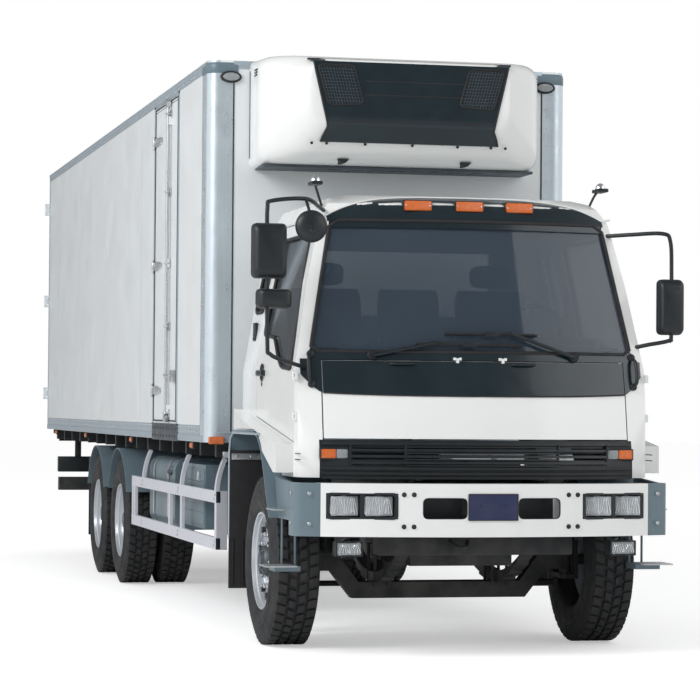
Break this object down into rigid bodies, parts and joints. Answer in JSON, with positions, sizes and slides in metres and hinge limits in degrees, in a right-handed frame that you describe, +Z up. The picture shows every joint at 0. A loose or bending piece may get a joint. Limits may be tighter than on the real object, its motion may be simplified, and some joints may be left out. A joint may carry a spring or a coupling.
{
  "type": "refrigerated truck",
  "caption": "Refrigerated rigid truck with a tilting cab, steered front wheels, twin rear wheels and an insulated box with side and rear doors.",
  "frame": {"origin": "on the ground under the middle of the truck", "axes": "+X forward, +Y to the truck's left, +Z up"},
  "size_m": [12.0368, 2.704, 3.8],
  "materials": {
    "frame_paint": "satin black chassis paint with road dust",
    "engine_paint": "painted casting",
    "wing_paint": "satin blue-grey paint",
    "cab_paint": "glossy white paint",
    "lamp_glass": "clear ribbed lens",
    "guard_aluminium": "brushed extrusion",
    "box_panel": "glossy white skin of an insulated panel",
    "rail_aluminium": "anodised extrusion",
    "black_plastic": "grained black plastic",
    "cab_trim": "rubber mat and moulded trim",
    "window_glass": "tinted laminated glass",
    "seat_fabric": "woven seat cloth",
    "tyre_rubber": "black tread rubber",
    "wheel_steel": "silver painted steel rim",
    "stainless": "brushed stainless fittings",
    "amber_lens": "moulded amber lens",
    "red_lens": "moulded red lens",
    "black_rubber": "black rubber seal",
    "mirror_glass": "silvered mirror",
    "belt_black": "gloss blue-black panel",
    "plate_blue": "blank dark blue plate"
  },
  "bodies": {
    "chassis": {"frame_rails": "frame_paint", "cross_members": "frame_paint", "subframe": "frame_paint", "floor_bearers": "frame_paint", "front_axle": "frame_paint", "leaf_springs": "frame_paint", "rear_axles": "frame_paint", "propshaft": "frame_paint", "engine_block": "engine_paint", "fuel_tank": "wing_paint", "side_boxes": "wing_paint", "bumper": "cab_paint", "bumper_caps": "wing_paint", "front_lamps": "lamp_glass", "front_fenders": "wing_paint", "rear_mudguards": "wing_paint", "side_guard_right": "guard_aluminium", "side_guard_left": "guard_aluminium", "underrun_bar": "frame_paint", "box_floor": "box_panel", "box_wall_right": "box_panel", "box_wall_left": "box_panel", "box_front_wall": "box_panel", "box_roof": "box_panel", "rear_frame": "rail_aluminium", "corner_posts": "rail_aluminium", "cooling_unit": "cab_paint"},
    "cab": {"cab_floor": "cab_trim", "cab_back": "cab_paint", "cab_roof": "cab_paint", "cab_front": "cab_paint", "cab_hinges": "cab_paint", "cab_side_right": "cab_paint", "cab_side_left": "cab_paint", "windscreen": "window_glass", "grille": "black_plastic", "dashboard": "black_plastic", "seats": "seat_fabric", "mirror_right": "black_plastic", "mirror_left": "black_plastic"},
    "lid": {"front_lid": "cab_paint"},
    "door_right": {"cab_door_right": "cab_paint"},
    "door_left": {"cab_door_left": "cab_paint"},
    "box_side_door": {"side_door": "box_panel"},
    "box_rear_door_right": {"rear_door_right": "box_panel"},
    "box_rear_door_left": {"rear_door_left": "box_panel"},
    "steer_knuckle_right": {"knuckle_right": "frame_paint"},
    "steer_knuckle_left": {"knuckle_left": "frame_paint"},
    "track_rod": {"tie_rod": "frame_paint"},
    "wheel_front_right": {"front_wheel_right": "tyre_rubber"},
    "wheel_front_left": {"front_wheel_left": "tyre_rubber"},
    "wheel_mid_right": {"rear_wheel_1_right": "tyre_rubber"},
    "wheel_mid_left": {"rear_wheel_1_left": "tyre_rubber"},
    "wheel_rear_right": {"rear_wheel_2_right": "tyre_rubber"},
    "wheel_rear_left": {"rear_wheel_2_left": "tyre_rubber"}
  },
  "joints": [
    {"name": "steer_right", "type": "hinge", "parent": "chassis", "child": "steer_knuckle_right", "pos_m": [4.7535, -0.84, 0.52], "axis": [0, 0, 1], "range_deg": [-38, 38]},
    {"name": "steer_left", "type": "hinge", "parent": "chassis", "child": "steer_knuckle_left", "pos_m": [4.7535, 0.84, 0.52], "axis": [0, 0, 1], "range_deg": [-38, 38]},
    {"name": "track_rod_pivot", "type": "hinge", "parent": "steer_knuckle_right", "child": "track_rod", "pos_m": [4.5535, -0.84, 0.38], "axis": [0, 0, 1], "range_deg": [-38, 38]},
    {"name": "roll_front_right", "type": "hinge", "parent": "steer_knuckle_right", "child": "wheel_front_right", "pos_m": [4.7535, -1.03, 0.52], "axis": [0, 1, 0], "continuous": true},
    {"name": "roll_front_left", "type": "hinge", "parent": "steer_knuckle_left", "child": "wheel_front_left", "pos_m": [4.7535, 1.03, 0.52], "axis": [0, 1, 0], "continuous": true},
    {"name": "roll_mid_right", "type": "hinge", "parent": "chassis", "child": "wheel_mid_right", "pos_m": [-1.0665, -0.925, 0.52], "axis": [0, 1, 0], "continuous": true},
    {"name": "roll_mid_left", "type": "hinge", "parent": "chassis", "child": "wheel_mid_left", "pos_m": [-1.0665, 0.925, 0.52], "axis": [0, 1, 0], "continuous": true},
    {"name": "roll_rear_right", "type": "hinge", "parent": "chassis", "child": "wheel_rear_right", "pos_m": [-2.4365, -0.925, 0.52], "axis": [0, 1, 0], "continuous": true},
    {"name": "roll_rear_left", "type": "hinge", "parent": "chassis", "child": "wheel_rear_left", "pos_m": [-2.4365, 0.925, 0.52], "axis": [0, 1, 0], "continuous": true},
    {"name": "cab_tilt", "type": "hinge", "parent": "chassis", "child": "cab", "pos_m": [5.7285, 0, 1.07], "axis": [0, 1, 0], "range_deg": [0, 45]},
    {"name": "lid_hinge", "type": "hinge", "parent": "cab", "child": "lid", "pos_m": [5.7135, 0, 1.762], "axis": [0, -1, 0], "range_deg": [0, 70]},
    {"name": "door_right_hinge", "type": "hinge", "parent": "cab", "child": "door_right", "pos_m": [5.5535, -1.102, 1.6], "axis": [0, 0, 1], "range_deg": [0, 70]},
    {"name": "door_left_hinge", "type": "hinge", "parent": "cab", "child": "door_left", "pos_m": [5.5535, 1.102, 1.6], "axis": [0, 0, -1], "range_deg": [0, 70]},
    {"name": "side_door_hinge", "type": "hinge", "parent": "chassis", "child": "box_side_door", "pos_m": [1.0935, -1.265, 2.5], "axis": [0, 0, -1], "range_deg": [0, 170]},
    {"name": "rear_door_right_hinge", "type": "hinge", "parent": "chassis", "child": "box_rear_door_right", "pos_m": [-6.0045, -1.278, 2.5], "axis": [0, 0, 1], "range_deg": [0, 265]},
    {"name": "rear_door_left_hinge", "type": "hinge", "parent": "chassis", "child": "box_rear_door_left", "pos_m": [-6.0045, 1.278, 2.5], "axis": [0, 0, -1], "range_deg": [0, 265]}
  ],
  "couplings": [
    {"joint": "steer_left", "follows": "steer_right", "ratio": 1},
    {"joint": "track_rod_pivot", "follows": "steer_right", "ratio": -1}
  ]
}
